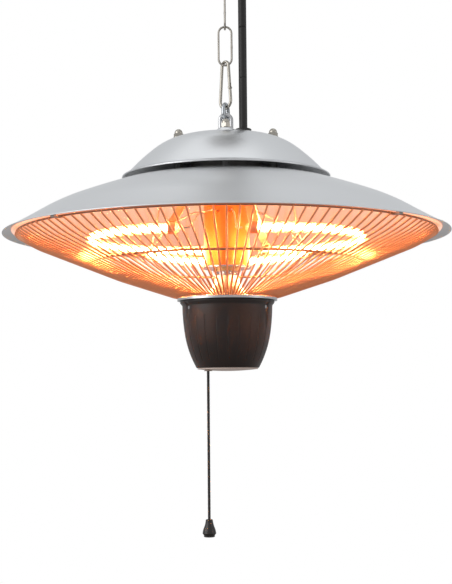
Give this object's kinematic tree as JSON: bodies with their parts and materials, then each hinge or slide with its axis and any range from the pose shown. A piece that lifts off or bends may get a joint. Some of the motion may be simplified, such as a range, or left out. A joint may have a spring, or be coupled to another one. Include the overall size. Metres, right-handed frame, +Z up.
{
  "type": "hanging radiant heater",
  "caption": "Ceiling-hung radiant heater: round aluminium shade with cap, quartz lamps behind a wire guard, chain with snap hook, and a pull-cord switch cup.",
  "frame": {"origin": "centre of the ceiling plate's upper face", "axes": "+Z up, +X to the right and -Y towards the viewer; the power cord hangs at +X of the chain"},
  "size_m": [0.425, 0.425, 0.5533],
  "materials": {
    "painted_plate": "smooth painted",
    "nickel": "nickel plated",
    "bright_chrome": "chrome plated",
    "zinc_steel": "zinc plated",
    "black_rubber": "matte",
    "cord_jacket": "satin",
    "brushed_shade": "brushed, lightly anodised",
    "polished_reflector": "polished",
    "black_shield": "heat-resistant matte black",
    "steel_sheet": "plain",
    "terminal_plastic": "plain",
    "wire_insulation": "heat-resistant sleeve",
    "quartz": "clear quartz, lit",
    "filament_glow": "glowing",
    "guard_chrome": "chrome plated",
    "dark_plastic": "satin moulded",
    "pale_plastic": "moulded",
    "switch_plastic": "moulded",
    "brass": "plain",
    "cord_textile": "braided"
  },
  "bodies": {
    "ceiling": {"ceiling_plate": "painted_plate", "ceiling_hook": "nickel", "ceiling_gland": "black_rubber", "power_cord_upper": "cord_jacket"},
    "chain": {"chain_links": "nickel", "power_cord_middle": "cord_jacket"},
    "snap": {"snap_hook": "nickel", "short_link": "bright_chrome", "power_cord_lower": "cord_jacket"},
    "gate": {"snap_hook_gate": "nickel"},
    "pull_slider": {"pull_cord_inner": "cord_textile"},
    "pull_tail": {"pull_cord": "cord_textile", "pull_knob": "dark_plastic"},
    "wheel": {"pull_wheel": "switch_plastic"},
    "selector": {"selector_drum": "switch_plastic"},
    "heater": {"acorn_nuts": "nickel", "bell": "bright_chrome", "cap": "brushed_shade", "cap_studs": "zinc_steel", "cap_washers": "nickel", "central_tube": "bright_chrome", "collar_ring": "bright_chrome", "contact_springs": "brass", "cord_bushing": "dark_plastic", "cord_gland": "black_rubber", "cup": "dark_plastic", "cup_bottom_plate": "pale_plastic", "cup_screws": "bright_chrome", "cup_top_plate": "steel_sheet", "filaments": "filament_glow", "guard_clips": "steel_sheet", "guard_rings": "guard_chrome", "guard_wires": "guard_chrome", "heat_shield": "black_shield", "inner_lamp": "quartz", "inner_leads": "wire_insulation", "junction_box": "steel_sheet", "lamp_arms": "steel_sheet", "lamp_leads": "zinc_steel", "left_lamp": "quartz", "load_plate": "zinc_steel", "neck_nuts": "brass", "neck_tube": "bright_chrome", "power_cord_tail": "cord_jacket", "reflector": "polished_reflector", "return_spring": "zinc_steel", "right_lamp": "quartz", "rivets": "zinc_steel", "shade": "brushed_shade", "spacer_sleeves": "zinc_steel", "stud_nuts": "zinc_steel", "switch_case": "switch_plastic", "switch_cover": "switch_plastic", "terminal_block": "terminal_plastic", "tube_end_cap": "bright_chrome", "u_bolt": "bright_chrome", "u_bolt_nuts": "zinc_steel"}
  },
  "joints": [
    {"name": "chain_swing", "type": "hinge", "parent": "ceiling", "child": "chain", "pos_m": [0, 0, -0.032], "axis": [1, 0, 0], "range_deg": [-20, 20], "deforming": ["power_cord_upper"]},
    {"name": "snap_hook_swing", "type": "hinge", "parent": "chain", "child": "snap", "pos_m": [0, 0, -0.1029], "axis": [1, 0, 0], "range_deg": [-15, 15], "deforming": ["power_cord_middle"]},
    {"name": "heater_swing", "type": "hinge", "parent": "snap", "child": "heater", "pos_m": [0, 0, -0.15145], "axis": [1, 0, 0], "range_deg": [-15, 15], "deforming": ["power_cord_lower"]},
    {"name": "gate_opening", "type": "hinge", "parent": "snap", "child": "gate", "pos_m": [0.00428, -0.00428, -0.12575], "axis": [0.7071, 0.7071, 0], "range_deg": [0, 24], "stiffness_Nm_per_rad": 0.005, "springref_deg": -17.19},
    {"name": "cord_pull", "type": "slide", "parent": "heater", "child": "pull_slider", "axis": [0, 0, -1], "range_m": [0, 0.008], "stiffness_N_per_m": 300, "springref_m": -0.003, "deforming": ["return_spring"]},
    {"name": "pull_cord_swing", "type": "hinge", "parent": "pull_slider", "child": "pull_tail", "pos_m": [-0.0186, -0.01, -0.39875], "axis": [1, 0, 0], "range_deg": [-30, 30]},
    {"name": "pull_wheel_turn", "type": "hinge", "parent": "heater", "child": "wheel", "pos_m": [-0.0106, -0.01, -0.36175], "axis": [0, 1, 0], "range_deg": [-60, 0]},
    {"name": "selector_turn", "type": "hinge", "parent": "heater", "child": "selector", "pos_m": [-0.0106, -0.0016, -0.36175], "axis": [0, 1, 0], "continuous": true}
  ],
  "couplings": [
    {"joint": "pull_wheel_turn", "follows": "cord_pull", "rad_per_m": -125}
  ]
}
